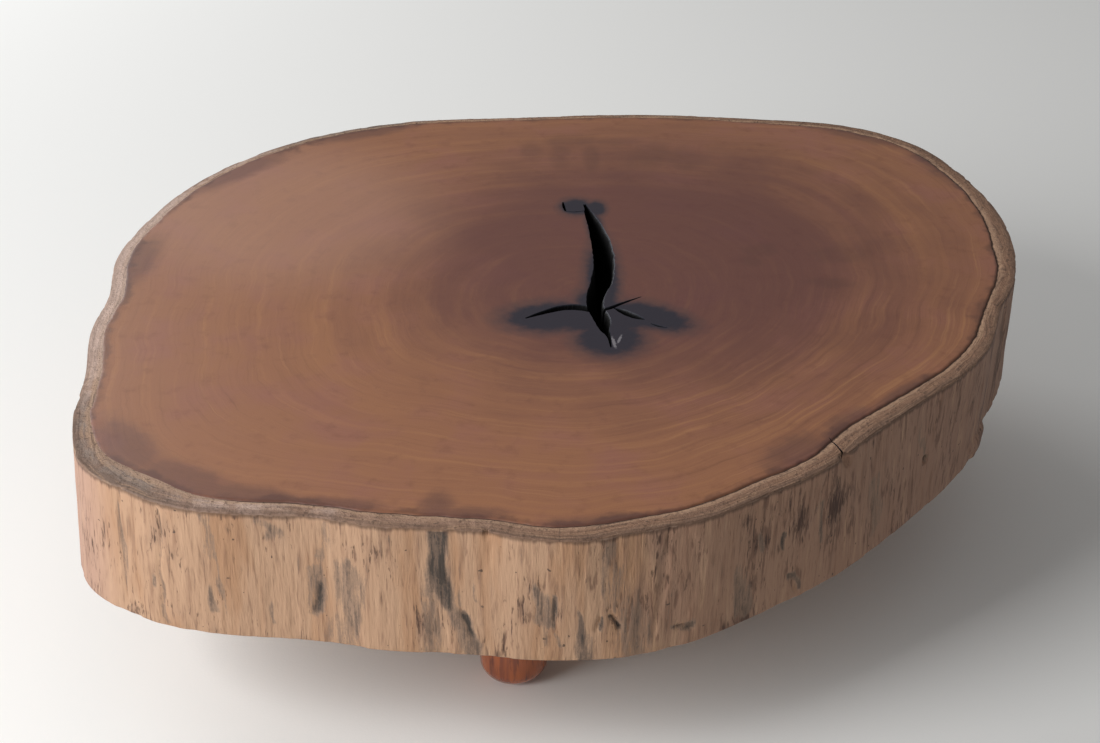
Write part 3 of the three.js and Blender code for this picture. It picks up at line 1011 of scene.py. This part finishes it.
class TABLE_OT_feet(bpy.types.Operator):
    """Turn the feet"""
    bl_idname = "wood_slice.add_feet"
    bl_label = "Add feet"

    def execute(self, context):
        settings = context.scene.wood_slice_feet
        wood = varnished_foot_wood(settings)
        for name in FOOT_NAMES:
            low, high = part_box("foot_" + name)
            middle = (low + high) / 2
            bolt_low, bolt_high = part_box("hanger_bolt_" + name)
            bore = (bolt_high.x - bolt_low.x) / 2 + FIXING_CLEARANCE
            bore_end = bolt_low.z - HOLE_END_CLEARANCE
            profile = foot_profile(settings, (high.x - low.x) / 2, high.z)
            profile += [(bore + MM, high.z), (bore, high.z - MM), (bore, bore_end),
                        (0.0, bore_end)]
            bm = bmesh.new()
            verts = [bm.verts.new((radius, 0, height)) for radius, height in profile]
            edges = [bm.edges.new(pair) for pair in zip(verts, verts[1:])]
            bmesh.ops.spin(bm, geom=verts + edges, axis=(0, 0, 1), cent=(0, 0, 0),
                           angle=2 * math.pi, steps=96, use_merge=True)
            bmesh.ops.remove_doubles(bm, verts=bm.verts, dist=1e-6)
            bmesh.ops.recalc_face_normals(bm, faces=bm.faces)
            bmesh.ops.translate(bm, verts=bm.verts, vec=(middle.x, middle.y, 0))
            piece = finished(bm, "turned_foot_" + name, [wood], 30)
            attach(piece, "root")
            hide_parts("foot_" + name)
        return {"FINISHED"}


class TABLE_OT_fixings(bpy.types.Operator):
    """Give the bolts and inserts their metal"""
    bl_idname = "wood_slice.finish_fixings"
    bl_label = "Finish fixings"

    def execute(self, context):
        zinc = plated_metal("zinc_plated_steel", "#B9BCBD", "#8F9598", 0.3)
        brass = plated_metal("turned_brass", "#C9A86A", "#A5854A", 0.25)
        for name in FOOT_NAMES:
            for kind, metal in (("hanger_bolt_", zinc), ("threaded_insert_", brass)):
                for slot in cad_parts[kind + name].material_slots:
                    slot.material = metal
        return {"FINISHED"}


# The camera's place, its height counted from the top
CAMERA_X, CAMERA_Y, CAMERA_RISE = -0.020, -2.1775, 1.157


class TABLE_OT_stage(bpy.types.Operator):
    """Lay the floor and set the lights and camera"""
    bl_idname = "wood_slice.set_stage"
    bl_label = "Set stage"

    def execute(self, context):
        settings = context.scene.wood_slice_stage
        bm = bmesh.new()
        bmesh.ops.create_grid(bm, x_segments=2, y_segments=2, size=12)
        finished(bm, "floor", [matt_floor(settings)])
        self.add_light(context, "key", settings.key_power, 1.5, 2.3, (-2.45, -1.7, 1.75))
        self.add_light(context, "window", settings.key_power * 0.6, 2.4, 1.6, (-2.4, 2.8, 1.7))
        world = bpy.data.worlds.new("studio")
        world.use_nodes = True
        background = world.node_tree.nodes["Background"]
        background.inputs["Color"].default_value = (1.0, 1.0, 1.0, 1.0)
        background.inputs["Strength"].default_value = settings.sky_strength
        context.scene.world = world
        context.scene.view_settings.view_transform = "Standard"
        lens = bpy.data.cameras.new("camera")
        lens.lens = settings.lens
        lens.clip_end = 50
        camera = bpy.data.objects.new("camera", lens)
        camera.location = (CAMERA_X, CAMERA_Y, SLAB_HIGH.z + CAMERA_RISE)
        camera.rotation_euler = (math.pi / 2 - settings.pitch, 0, 0)
        context.scene.collection.objects.link(camera)
        context.scene.camera = camera
        return {"FINISHED"}

    def add_light(self, context, name, power, width, height, place):
        """A soft light panel that faces the table."""
        data = bpy.data.lights.new(name, "AREA")
        data.shape = "RECTANGLE"
        data.energy = power
        data.size = width
        data.size_y = height
        light = bpy.data.objects.new(name, data)
        light.location = place
        aim = Vector((0, 0, SLAB_HIGH.z)) - light.location
        light.rotation_euler = aim.to_track_quat("-Z", "Y").to_euler()
        context.scene.collection.objects.link(light)


class TABLE_PT_panel(bpy.types.Panel):
    """Sidebar panel with the table's settings and steps"""
    bl_idname = "TABLE_PT_wood_slice"
    bl_label = "Wood slice table"
    bl_space_type = "VIEW_3D"
    bl_region_type = "UI"
    bl_category = "Wood Slice"

    def draw(self, context):
        scene = context.scene
        for group in (scene.wood_slice_slab, scene.wood_slice_feet, scene.wood_slice_stage):
            box = self.layout.box()
            for name in group.__annotations__:
                box.prop(group, name)
        for step in (TABLE_OT_stage, TABLE_OT_slice, TABLE_OT_feet, TABLE_OT_fixings):
            self.layout.operator(step.bl_idname)


CLASSES = (SlabSettings, FootSettings, StageSettings, TABLE_OT_stage, TABLE_OT_slice,
           TABLE_OT_feet, TABLE_OT_fixings, TABLE_PT_panel)


def register():
    for cls in CLASSES:
        bpy.utils.register_class(cls)
    bpy.types.Scene.wood_slice_slab = PointerProperty(type=SlabSettings)
    bpy.types.Scene.wood_slice_feet = PointerProperty(type=FootSettings)
    bpy.types.Scene.wood_slice_stage = PointerProperty(type=StageSettings)


def unregister():
    del bpy.types.Scene.wood_slice_stage
    del bpy.types.Scene.wood_slice_feet
    del bpy.types.Scene.wood_slice_slab
    for cls in reversed(CLASSES):
        bpy.utils.unregister_class(cls)


def main():
    register()
    bpy.ops.wood_slice.set_stage()
    bpy.ops.wood_slice.add_slice()
    bpy.ops.wood_slice.add_feet()
    bpy.ops.wood_slice.finish_fixings()


if __name__ == "__main__":
    main()
